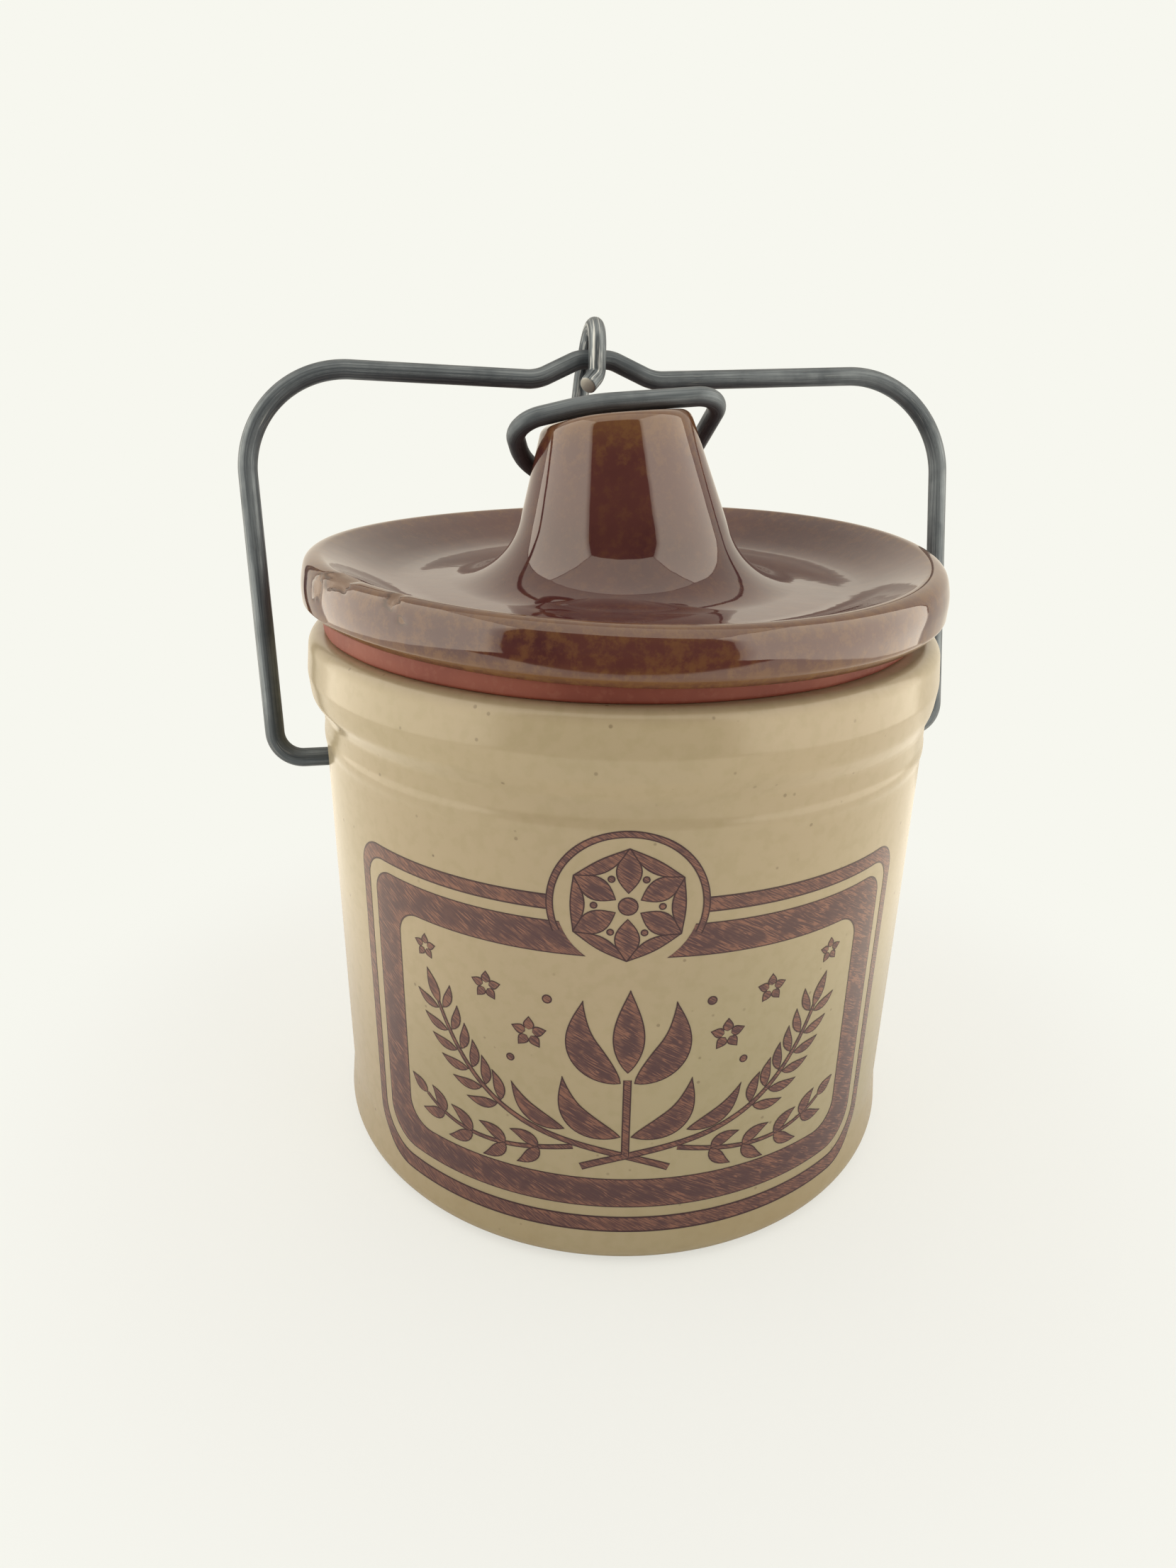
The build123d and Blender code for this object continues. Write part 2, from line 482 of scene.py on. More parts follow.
def lid_corners(angle):
    """The lid's half section at an azimuth, where the knob's edge and its height fit each other."""
    top_z = knob_top_z
    for _ in range(12):
        top_r = cone_radius_at(angle, top_z, knob_foot_radius)
        top_r += knob_right_reach * max(0, cos(angle - knob_right_azimuth)) ** 2
        top_z = knob_top_height(angle, top_r)
    foot_r = cone_radius_at(angle, dish_z, knob_foot_radius)
    hollow_foot = cone_radius_at(angle, plate_low, knob_foot_radius - knob_wall)
    hollow_z = dish_z + (knob_height - knob_wall) * cos(knob_lean)
    hollow_r = cone_radius_at(angle, hollow_z, knob_foot_radius - knob_wall)
    return [
        (0, knob_top_height(angle, 0), 0),
        (top_r, top_z, knob_top_round),
        (foot_r, dish_z, knob_flare),
        (dish_radius, dish_z, dish_round),
        (lid_radius - lid_crest_inset, lid_top, lid_crest_round),
        (lid_radius, lid_bulge, lid_bulge_round),
        (lid_radius - lid_lip_inset, lid_lip, lid_lip_round),
        (lid_radius - lid_under_inset, lid_under, lid_edge_round),
        (flange_outer, lid_under, 0),
        (flange_tip, flange_low, flange_round),
        (flange_inner, flange_low, flange_round),
        (flange_inner, plate_low, flange_round),
        (hollow_foot, plate_low, flange_round),
        (hollow_r, hollow_z, knob_hollow_round),
        (0, hollow_z, 0),
    ]


lid_turns = 448
# Chips and scrapes on the lid's edge: azimuth in degrees, height, half width along the edge,
# half height, and depth
lid_chips = (
    (200.2, 121.7, 2.4, 2.2, 0.4),
    (206.5, 124.0, 5.5, 1.7, 0.6),
    (221.3, 123.3, 1.4, 1.3, 0.5),
    (224.4, 120.8, 0.8, 0.6, 0.3),
)
chip_zone = 6.0
chip_steepness = 2.2
chip_down_share = 0.4


def chip_share(x, y, z, chip):
    """How deep a point lies in a chip, as a share of the chip's depth, with an uneven outline."""
    if hypot(x, y) < lid_radius - chip_zone:
        return 0
    azimuth, height, half_width, half_height, _ = chip
    turn = (atan2(y, x) - radians(azimuth) + pi) % (2 * pi) - pi
    along, up = turn * lid_radius / half_width, (z - height) / half_height
    angle = atan2(up, along)
    uneven = 0.14 * sin(5 * angle + azimuth) + 0.09 * sin(11 * angle + 2 * azimuth)
    return min(1, max(0, (1 + uneven - hypot(along, up)) * chip_steepness))


# Where the glaze runs thin and shows amber, as heights and shares
thin_knob = ((136, 142, 148), (0.05, 0.32, 0.9))
thin_band = ((113.9, 115.4, 116.6, 120.6, 122.6, 123.4), (0.55, 1.0, 0.45, 0.4, 0.75, 0.85))
thin_start = 55.0
thin_fade = 5.0


def thinness(section):
    r, z = section.T
    band = np.interp(z, *thin_band) * np.clip((r - thin_start) / thin_fade, 0, 1)
    return np.where(r < dish_radius, np.interp(z, *thin_knob), band)


def lip_drop(angle):
    """How far the lid's lower lip, and the top of the rubber under it, lie below their even height."""
    sag = lip_sag * max(0, cos(angle - lip_sag_azimuth))
    return sag - lip_lift * max(0, cos(angle - lip_lift_azimuth)) ** 3


def lid_shift(angle, r, z):
    """How far the hand-made lid's outer band lies out from and above its even form."""
    outer = progress(r, dish_radius, lid_radius - crest_width)
    high = progress(z, crest_start, crest_full)
    low = progress(z, lip_start, lip_full) * (z > flange_low + flange_clear)
    rise = crest_rise + crest_tilt * cos(angle - crest_tilt_azimuth)
    rise += crest_warp * cos(2 * (angle - crest_warp_azimuth))
    return -lid_draw * side_share(angle) * outer, (rise * high - lip_drop(angle) * low) * outer


def make_lid():
    counts = None
    sections = []
    for k in range(lid_turns):
        corners = lid_corners(2 * pi * k / lid_turns)
        section, counts = section_path(corners, run_step=1.1, arc_step=0.3, counts=counts)
        sections.append(section)

    def place(angle, r, z):
        fade = min(1, r / lid_radius)
        outward, upward = lid_shift(angle, r, z)
        r += outward + lid_waver * waver(angle + 1.7, 2 * z) * fade
        z += upward
        x, y = r * cos(angle), r * sin(angle)
        cut = max(chip[4] * chip_share(x, y, z, chip) for chip in lid_chips)
        return (x - cut * cos(angle), y - cut * sin(angle), z - cut * chip_down_share)

    body = Turned(sections, place)
    body.skin()
    lid = new_object("lid_glazed", body.points, body.faces, smooth_angle=radians(50))
    shares = [thinness(section) for section in sections]
    values = [shares[0][0]] + [value for share in shares for value in share[1:-1]] + [shares[0][-1]]
    give_attribute(lid, "thin", values)
    chipped = [max(chip_share(*point, chip) for chip in lid_chips) for point in body.points]
    give_attribute(lid, "chip", chipped)
    return lid


def make_gasket():
    """A flat rubber ring, its outer edge softened and uneven, and drawn in on one side."""
    middle = (crock_height + gasket_top) / 2
    corners = [
        (gasket_inner, middle, 0),
        (gasket_inner, crock_height, gasket_inner_round),
        (gasket_outer, crock_height, gasket_round),
        (gasket_outer, gasket_top, gasket_round),
        (gasket_inner, gasket_top, gasket_inner_round),
        (gasket_inner, middle, 0),
    ]
    section = section_path(corners, run_step=0.8, arc_step=0.2)[0][:-1]
    turns, count = 256, len(section)
    points, faces = [], []
    for k in range(turns):
        angle = 2 * pi * k / turns
        shift = gasket_waver * waver(3 * angle, 0) - gasket_draw * side_share(angle)
        start, after = k * count, (k + 1) % turns * count
        for i, (r, z) in enumerate(section):
            r += shift * (r - gasket_inner) / (gasket_outer - gasket_inner)
            z -= lip_drop(angle) * (z > crock_height + gasket_even_height)
            points.append((r * cos(angle), r * sin(angle), z))
            j = (i + 1) % count
            faces.append([start + i, start + j, after + j, after + i])
    return new_object("rubber_ring", points, faces)


# Wires


# How a wire's cut ends round off: insets from the end, and shares of the wire's radius
end_bevel = ((0, 0.80), (0.12, 0.93), (0.35, 1.0))


def sweep_wire(name, corners, radii, diameter, sides=28):
    """A round wire with rounded cut ends, and a UV map in millimetres along and around it."""
    path, tangents, _ = rounded_path(corners, radii, run_step=1.5, arc_step=0.45)
    lengths = [0, *np.cumsum(np.linalg.norm(np.diff(path, axis=0), axis=1))]
    normal = unit(np.cross(tangents[0], (0.3, 0.5, 0.8)))
    rings = []
    for point, tangent, length in zip(path, tangents, lengths):
        normal = unit(normal - tangent * (normal @ tangent))
        rings.append((point, tangent, normal, length, 1))
    ends = []
    for (point, tangent, normal, length, _), way in ((rings[0], 1), (rings[-1], -1)):
        ends.append([(point + tangent * inset * way, tangent, normal, length + inset * way, share)
                     for inset, share in end_bevel[::way]])
    rings = ends[0] + rings[1:-1] + ends[1]
    points, uv, faces = [], [], []
    for point, tangent, normal, length, share in rings:
        other = np.cross(tangent, normal)
        for k in range(sides):
            angle = 2 * pi * k / sides
            points.append(point + (normal * cos(angle) + other * sin(angle)) * diameter / 2 * share)
            uv.append((length, k / sides * pi * diameter))
    for n in range(len(rings) - 1):
        a, b = n * sides, (n + 1) * sides
        for k in range(sides):
            after = (k + 1) % sides
            faces.append([a + k, a + after, b + after, b + k])
    faces.append(list(range(sides))[::-1])
    faces.append([(len(rings) - 1) * sides + k for k in range(sides)])
    wire = new_object(name, points, faces, smooth_angle=radians(40))
    give_uv(wire, "along", uv)
    return wire


def in_bail(across, along):
    """A point of the bail's plane, which leans back about the pivot line."""
    return np.array((across, along * sin(bail_lean), pivot_height + along * cos(bail_lean)))


hump_height = (knob_top_z + hump_rise - pivot_height) / cos(bail_lean)
dip_height = hump_height - hump_step
shoulder_height = dip_height + bail_bar_rise
hump = in_bail(hump_x, hump_height)


def make_bail():
    """The bail, from corners on both sides: a middle, the reach to each side, and how far up."""
    half = [
        (0, bail_end_reach, 0),
        (bail_shift, bail_foot_reach, 0),
        (bail_shift, bail_shoulder_reach, shoulder_height),
        (hump_x, dip_reach, dip_height),
        (hump_x, hump_reach, hump_height),
    ]
    corners = [in_bail(middle + reach, along) for middle, reach, along in half]
    corners += [in_bail(middle - reach, along) for middle, reach, along in half[::-1]]
    return sweep_wire("bail_wire", corners, bail_rounds + bail_rounds[::-1], bail_wire)


def make_lever():
    """A hook over the hump, a shank, and a loop that ends against the shank."""
    eye_half = (bail_wire + lever_wire) / 2 + eye_play
    eye_round = eye_half - eye_play / 2
    bar_y = -loop_bar_past
    bar_z = knob_top_z + lever_rest_gap + lever_wire / 2
    back_y = knob_foot_radius + loop_back_clearance
    left_x = -knob_top_radius - loop_left_clearance
    right_x = knob_top_radius + loop_right_clearance
    shank_bend = hump + (-shank_bend_offset, eye_half, -eye_half)
    shank_foot = np.array((hump_x - shank_offset, back_y, bar_z - shank_foot_drop))
    corners = [
        (hump + (-eye_tail_reach, -eye_half - eye_tail_front, -eye_tail_drop), 0),
        (hump + (-eye_play, -eye_half, -eye_bend_drop), eye_bend_round),
        (hump + (-eye_play, -eye_half, eye_height), eye_round),
        (hump + (-eye_skew, eye_half, eye_height), eye_round),
        (shank_bend, shank_bend_round),
        (shank_foot, shank_foot_round),
        ((left_x + loop_left_tuck, bar_y + loop_left_back, bar_z - loop_left_drop), loop_side_round),
        ((left_x, bar_y, bar_z - loop_left_droop), loop_left_round),
        ((hump_x - loop_bar_bend_left, bar_y, bar_z), loop_droop_round),
        ((right_x, bar_y, bar_z + loop_bar_rise), loop_front_round),
        ((right_x - loop_right_tuck, back_y, bar_z - loop_right_drop), loop_back_round),
        (shank_foot + unit(shank_bend - shank_foot) * loop_end_rise, 0),
    ]
    rounds = [corner[1] for corner in corners[1:-1]]
    return sweep_wire("lever_wire_loop", [corner[0] for corner in corners], rounds, lever_wire)


# The printed panel, drawn flat in millimetres along the wall and up, then laid on the wall

print_azimuth = radians(-101.0)
print_lift = 0.035
layer_lift = 0.008


class Print:
    """Flat ink shapes on the wall. Each shape is a ribbon about a line, with its own half widths."""

    def __init__(self, name):
        self.name = name
        self.points, self.flat, self.edge, self.faces = [], [], [], []

    def grid(self, rows, edges, layer=0):
        """A ribbon from rows of points across it, with each point's distance to the ink's edge."""
        first = len(self.points)
        width = len(rows[0])
        for row, edge_row in zip(rows, edges):
            for (s, z), edge in zip(row, edge_row):
                angle = print_azimuth + s / crock_radius
                r = wall_radius(angle, z) + print_lift + layer * layer_lift
                self.points.append((r * cos(angle), r * sin(angle), z))
                self.flat.append((s, z))
                self.edge.append(edge)
        for n in range(len(rows) - 1):
            for k in range(width - 1):
                a = first + n * width + k
                self.faces.append([a, a + 1, a + width + 1, a + width])

    def ribbon(self, line, halves, layer=0):
        line = np.array(line, float)
        slopes = np.gradient(line, axis=0)
        shares = (-1, -0.5, 0, 0.5, 1)
        rows, edges = [], []
        for point, slope, half in zip(line, slopes, halves):
            across = np.array((-slope[1], slope[0])) / max(1e-9, hypot(*slope))
            rows.append([point + across * half * share for share in shares])
            edges.append([half * (1 - abs(share)) for share in shares])
        self.grid(rows, edges, layer)

    def leaf(self, root, tip, width, bow=0.0, layer=0, blunt=0.75):
        """A pointed leaf, petal or grain from its root to its tip, which may bow to one side."""
        root, tip = np.array(root, float), np.array(tip, float)
        side = np.array((root[1] - tip[1], tip[0] - root[0]))
        steps = max(8, round(np.linalg.norm(tip - root) / 0.7))
        shares = [n / steps for n in range(steps + 1)]
        line = [root + (tip - root) * t + side * bow * sin(pi * t) for t in shares]
        halves = [width / 2 * max(0.02, sin(pi * t**blunt)) for t in shares]
        self.ribbon(line, halves, layer)

    def arc(self, centre, radius, start, end, width, layer=0):
        steps = max(12, round(abs(end - start) * radius / 0.8))
        angles = [start + (end - start) * n / steps for n in range(steps + 1)]
        line = [(centre[0] + radius * cos(a), centre[1] + radius * sin(a)) for a in angles]
        self.ribbon(line, [width / 2] * len(line), layer)

    def dot(self, centre, radius, layer=0):
        shares = (0.02, 0.5, 1)
        ways = [np.array((cos(angle), sin(angle))) for angle in np.linspace(0, 2 * pi, 21)]
        rows = [[centre + way * radius * share for share in shares] for way in ways]
        self.grid(rows, [[radius * (1 - share) for share in shares]] * len(rows), layer)

    def piece(self, material):
        piece = new_object(self.name, self.points, self.faces, sheet=True)
        give_uv(piece, "print", self.flat)
        give_attribute(piece, "edge", self.edge)
        piece.data.materials.append(material)
        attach(piece, "crock")


medallion_z = 76.9
medallion_ring = 12.9
ring_width = 1.3
disc_radius = 11.8
# The edges of the two frame bands: left, right, top, bottom, top corner round, bottom corner round
thin_outer = (-55.2, 57.35, 78.2, 8.0, 5.6, 10.5)
thin_inner = (-52.9, 55.1, 75.35, 11.4, 4.6, 8.6)
thick_outer = (-50.8, 53.0, 73.4, 13.6, 4.6, 7.6)
thick_inner = (-44.0, 46.1, 67.2, 20.3, 4.8, 5.6)


def band_line(edges, cut_radius):
    """One line of a frame band, from the medallion's right side round to its left side."""
    left, right, top, bottom, top_round, bottom_round = edges
    start = sqrt(max(0, cut_radius**2 - (top - medallion_z) ** 2))
    corners = [(start, top), (right, top), (right, bottom), (left, bottom), (left, top), (-start, top)]
    return corners, [top_round, bottom_round, bottom_round, top_round]


def add_band(ink, outer, inner, cut_radius):
    shares = (0, 0.12, 0.3, 0.5, 0.7, 0.88, 1)
    counts = None
    columns = []
    for share in shares:
        edges = [a + (b - a) * share for a, b in zip(outer, inner)]
        corners, rounds = band_line(edges, cut_radius)
        points, _, counts = rounded_path(corners, rounds, 1.3, 0.7, counts)
        columns.append(points)
    width = abs(outer[0] - inner[0])
    rows = list(zip(*columns))
    ink.grid(rows, [[width * min(share, 1 - share) for share in shares]] * len(rows))


def make_frame_print():
    ink = Print("print_frame")
    add_band(ink, thin_outer, thin_inner, medallion_ring)
    add_band(ink, thick_outer, thick_inner, disc_radius)
    return ink


def make_ring_print():
    """The medallion's ring, which ends where it meets the frame."""
    ink = Print("print_ring")
    low = -radians(24)
    ink.arc((0, medallion_z), medallion_ring, low, pi - low, ring_width, 1)
    return ink


def make_rosette_print():
    """A compass rosette: six petals that meet at a dot, and six leaves that join their tips."""
    ink = Print("print_rosette")
    middle = np.array((0, medallion_z))
    reach = 10.4
    for n in range(6):
        angles = (pi / 2 + n * pi / 3, pi / 2 + (n + 1) * pi / 3)
        way, after = [np.array((cos(angle), sin(angle))) for angle in angles]
        ink.leaf(middle + way * 2.3, middle + way * reach, width=4.3, layer=1, blunt=0.95)
        ink.leaf(middle + way * reach, middle + after * reach, width=2.5, bow=0.07, layer=2, blunt=1)
        ink.dot(middle + unit(way + after) * 5.6, 0.65, 1)
    ink.dot(middle, 1.7, 1)
    return ink


def even_points(*controls, pitch=0.5):
    """Points at an even pitch along the cubic curve that four control points shape."""
    t = np.linspace(0, 1, 201)
    weights = ((1 - t) ** 3, 3 * t * (1 - t) ** 2, 3 * t * t * (1 - t), t**3)
    fine = np.stack(weights, axis=1) @ np.array(controls)
    lengths = np.append(0, np.cumsum(np.linalg.norm(np.diff(fine, axis=0), axis=1)))
    places = np.arange(0, lengths[-1], pitch)
    return np.stack([np.interp(places, lengths, fine[:, axis]) for axis in (0, 1)], axis=1)


def turned(way, angle):
    """A direction of the flat drawing, turned by an angle."""
    return way * cos(angle) + np.array((-way[1], way[0])) * sin(angle)


def wheat_ear(ink, line, pitch, grain):
    """Grains in pairs that lean out along the end of a stalk, and one grain at its tip."""
    step = np.linalg.norm(line[1] - line[0])
    pairs = 6
    for n in range(pairs):
        at = len(line) - 2 - round(pitch * (pairs - 0.7 - n) / step)
        way = unit(line[at + 1] - line[at - 1])
        size = grain * (1 - 0.03 * n)
        for hand in (-1, 1):
            base = line[at] + turned(way, hand * pi / 2) * 0.5
            tip = base + turned(way, hand * radians(40)) * size
            ink.leaf(base, tip, size * 0.35, 0.08 * hand, 3, 0.8)
    way = unit(line[-1] - line[-3])
    ink.leaf(line[-1] - way * 0.6, line[-1] + way * grain, grain * 0.36, 0, 3, 0.8)


def blossom(ink, centre, size):
    """A small flower of five petals."""
    for n in range(5):
        angle = pi / 2 + n * 2 * pi / 5
        way = np.array((cos(angle), sin(angle)))
        ink.leaf(centre + way * size * 0.2, centre + way * size, size * 0.62, 0, 1, 0.65)


panel_middle = 0.9
# Leaves on one side of the middle: root, tip, width, bow and bluntness
garland_leaves = (
    ((0.9, 30.0), (11.5, 42.5), 5.0, -0.22, 0.8),
    ((11.0, 31.0), (21.0, 39.5), 3.4, -0.16, 0.8),
    ((1.2, 41.8), (8.0, 58.5), 6.2, -0.20, 0.75),
)
# Flowers and dots on one side of the middle: centre and size
garland_flowers = ((17.5, 50.5, 3.4), (25.5, 58.2, 3.0), (38.5, 62.0, 2.6))
garland_dots = ((14.2, 58.0, 0.9), (21.0, 44.6, 0.8))
# Pairs of leaves on a spray: share of its length, and leaf length
spray_pairs = ((0.20, 6.2), (0.42, 6.4), (0.64, 6.4), (0.84, 5.8))


def make_garland_print():
    """Two ears of wheat on crossed stalks beside a tulip, with sprays of leaves and small flowers."""
    ink = Print("print_garland")
    for hand in (-1, 1):
        def at(x, z):
            return np.array((panel_middle + hand * x, z))

        layer = 1 if hand < 0 else 2
        stalk = even_points(at(-8, 22.8), at(9, 30.5), at(26, 25.5), at(36, 52.0))
        ink.ribbon(stalk, np.linspace(0.8, 0.4, len(stalk)), layer)
        wheat_ear(ink, stalk, pitch=4.1, grain=6.6)
        spray = even_points(at(9.5, 27.2), at(20, 25.0), at(31, 22.4), at(40, 29.5))
        ink.ribbon(spray, np.linspace(0.6, 0.4, len(spray)), layer)
        for share, length in spray_pairs:
            n = round(share * (len(spray) - 1))
            way = unit(spray[n] - spray[n - 2])
            for side in (-1, 1):
                tip = spray[n] + turned(way, side * radians(36)) * length
                ink.leaf(spray[n], tip, 2.7, 0.10 * side, 3)
        way = unit(spray[-1] - spray[-3])
        ink.leaf(spray[-1], spray[-1] + way * 5.0, 2.6, 0, 3)
        for root, tip, width, bow, blunt in garland_leaves:
            ink.leaf(at(*root), at(*tip), width, bow * hand, 3, blunt)
        for x, z, size in garland_flowers:
            blossom(ink, at(x, z), size)
        for x, z, size in garland_dots:
            ink.dot(at(x, z), size, 1)
    stem = [(panel_middle, 25.5 + 0.5 * n) for n in range(35)]
    ink.ribbon(stem, [0.75] * len(stem), 2)
    ink.leaf((panel_middle, 44.0), (panel_middle, 61.0), 5.6, 0, 4, 0.8)
    return ink


# Materials


def linear(red, green, blue):
    """A colour on the usual 0 to 255 scale, as the linear one that shaders take."""
    channels = [c / 255 for c in (red, green, blue)]
    return tuple(c / 12.92 if c <= 0.04045 else ((c + 0.055) / 1.055) ** 2.4 for c in channels) + (1,)


class Nodes:
    """Short calls for the nodes of a material or of the world."""

    def __init__(self, owner):
        owner.use_nodes = True
        self.tree = owner.node_tree

    def put(self, socket, value):
        if isinstance(value, bpy.types.NodeSocket):
            self.tree.links.new(value, socket)
        else:
            socket.default_value = value

    def new(self, kind, inputs=(), **settings):
        made = self.tree.nodes.new("ShaderNode" + kind)
        for key, value in settings.items():
            setattr(made, key, value)
        for key, value in dict(inputs).items():
            self.put(made.inputs[key], value)
        return made

    def node(self, kind, out=0, inputs=(), **settings):
        return self.new(kind, inputs, **settings).outputs[out]

    def place(self):
        return self.node("TexCoord", "Object")

    def attribute(self, name):
        return self.node("Attribute", "Fac", attribute_name=name)

    def stretch(self, vector, scale):
        return self.node("Mapping", 0, {"Vector": vector, "Scale": scale})

    def slant(self, vector, angle):
        return self.node("VectorRotate", 0, {"Vector": vector, "Axis": (0, 0, 1), "Angle": angle})

    def noise(self, vector, scale, detail=3.0, rough=0.5, distortion=0.0):
        inputs = {"Vector": vector, "Scale": scale, "Detail": detail, "Roughness": rough}
        inputs["Distortion"] = distortion
        return self.node("TexNoise", 0, inputs)

    def maths(self, operation, a, b=0.0):
        return self.node("Math", 0, {0: a, 1: b}, operation=operation)

    def times(self, a, b):
        return self.maths("MULTIPLY", a, b)

    def reach(self, vector, way):
        """How far a vector reaches along a direction."""
        inputs = {0: vector, 1: tuple(way)}
        return self.node("VectorMath", "Value", inputs, operation="DOT_PRODUCT")

    def between(self, value, low, high, start=0.0, end=1.0):
        """The value's way from low to high, eased, as a way from start to end."""
        inputs = {"Value": value, "From Min": low, "From Max": high, "To Min": start, "To Max": end}
        return self.node("MapRange", 0, inputs, interpolation_type="SMOOTHSTEP")

    def mix(self, share, a, b):
        """Colour a, turned to colour b by a share."""
        return self.node("Mix", 2, {0: share, 6: a, 7: b}, data_type="RGBA")

    def specks(self, place, scale, size, chosen, strength):
        """Round specks in a few of many small cells, as a share. Sizes and choices are fading ranges."""
        cells = self.new("TexVoronoi", {"Vector": place, "Scale": scale}).outputs
        picked = self.node("SeparateColor", 0, {"Color": cells["Color"]})
        speck = self.between(cells["Distance"], *size, 1, 0)
        return self.times(self.times(speck, self.between(picked, *chosen)), strength)

    def glow(self, tone, strength):
        return self.node("Emission", 0, {"Color": tone, "Strength": strength})

    def cover(self, share, under, over):
        """A shader covered by another one by a share."""
        return self.node("MixShader", 0, {0: share, 1: under, 2: over})

    def show(self, shader, output="Material Output"):
        self.put(self.tree.nodes[output].inputs["Surface"], shader)


class Shader(Nodes):
    """A material, with its surface to set."""

    def __init__(self, name, roughness, ior=1.5, metallic=0.0, specular=0.5):
        self.material = bpy.data.materials.new(name)
        super().__init__(self.material)
        self.surface = self.tree.nodes["Principled BSDF"]
        for key, value in (("IOR", ior), ("Metallic", metallic), ("Specular IOR Level", specular)):
            self.surface.inputs[key].default_value = value
        self.rough(roughness)

    def bump(self, height, distance, strength):
        inputs = {"Height": height, "Distance": distance, "Strength": strength}
        self.put(self.surface.inputs["Normal"], self.node("Bump", 0, inputs))

    def colour(self, value):
        self.put(self.surface.inputs["Base Color"], value)

    def rough(self, value):
        self.put(self.surface.inputs["Roughness"], value)


def crock_glaze():
    shader = Shader("crock_glaze", 0.2, 1.55, specular=0.35)
    place = shader.place()
    height = shader.node("SeparateXYZ", 2, {"Vector": place})
    cloud = shader.noise(place, 22, 4)
    fine = shader.noise(place, 420, 3)
    tone = shader.mix(shader.between(cloud, 0.35, 0.65), linear(195, 176, 136), linear(188, 170, 131))
    drift = shader.between(shader.noise(place, 9, 2), 0.35, 0.65)
    hue = shader.mix(drift, linear(198, 173, 140), linear(188, 173, 135))
    tone = shader.mix(0.5, tone, hue)
    tone = shader.mix(shader.between(fine, 0.42, 0.68, 0, 0.22), tone, linear(172, 155, 112))
    # Many faint iron specks and a few dark ones
    specks = shader.specks(place, 520, (0.10, 0.22), (0.89, 0.95), 0.5)
    tone = shader.mix(specks, tone, linear(120, 100, 70))
    specks = shader.specks(place, 95, (0.03, 0.05), (0.95, 0.96), 0.85)
    tone = shader.mix(specks, tone, linear(70, 48, 38))
    # Warmer low on the wall, bare clay under the foot
    warm_height, bare_height = 0.022, 0.0012
    low = shader.times(shader.between(height, 0, warm_height, 1, 0), shader.between(cloud, 0.3, 0.6))
    tone = shader.mix(shader.times(low, 0.5), tone, linear(186, 158, 112))
    ragged = shader.maths("ADD", height, shader.times(shader.noise(place, 60, 2), bare_height))
    bare = shader.between(ragged, bare_height, bare_height + 0.0004, 1, 0)
    tone = shader.mix(bare, tone, linear(178, 150, 112))
    shader.colour(tone)
    shader.rough(shader.maths("ADD", shader.times(bare, 0.6), 0.2))
    shader.bump(shader.noise(place, 90, 2), 0.00012, 0.5)
    return shader.material


def lid_glaze():
    shader = Shader("lid_glaze", 0.05, 1.6)
    place = shader.place()
    thin = shader.attribute("thin")
    chip = shader.attribute("chip")
    cloud = shader.noise(place, 35, 5, 0.6)
    mottle = shader.noise(place, 420, 4, 0.7)
    dark = shader.mix(shader.between(cloud, 0.35, 0.62), linear(80, 40, 40), linear(97, 54, 47))
    dark = shader.mix(shader.between(mottle, 0.45, 0.7, 0, 0.35), dark, linear(122, 78, 50))
    share = shader.times(shader.between(mottle, 0.4, 0.65), 0.25)
    share = shader.between(shader.maths("ADD", shader.times(thin, 0.75), share), 0.25, 0.95)
    tone = shader.mix(share, dark, linear(125, 84, 50))
    worn = shader.between(shader.maths("ADD", chip, shader.times(mottle, 0.3)), 0.35, 0.75)
    tone = shader.mix(worn, tone, linear(112, 80, 56))
    brink = shader.times(shader.between(chip, 0.02, 0.12), shader.between(chip, 0.2, 0.4, 1, 0))
    tone = shader.mix(shader.times(brink, 0.7), tone, linear(70, 40, 26))
    shader.colour(tone)
    shader.rough(shader.maths("ADD", shader.times(worn, 0.3), 0.05))
    shader.bump(shader.noise(place, 120, 2), 0.0001, 0.5)
    return shader.material


def rubber():
    shader = Shader("gasket_rubber", 0.55, specular=0.3)
    place = shader.place()
    cloud = shader.noise(place, 60, 4)
    fine = shader.noise(place, 900, 2)
    tone = shader.mix(shader.between(cloud, 0.35, 0.65), linear(146, 76, 56), linear(130, 62, 46))
    tone = shader.mix(shader.between(fine, 0.5, 0.7, 0, 0.25), tone, linear(160, 96, 74))
    shader.colour(tone)
    shader.bump(fine, 0.00005, 0.6)
    return shader.material


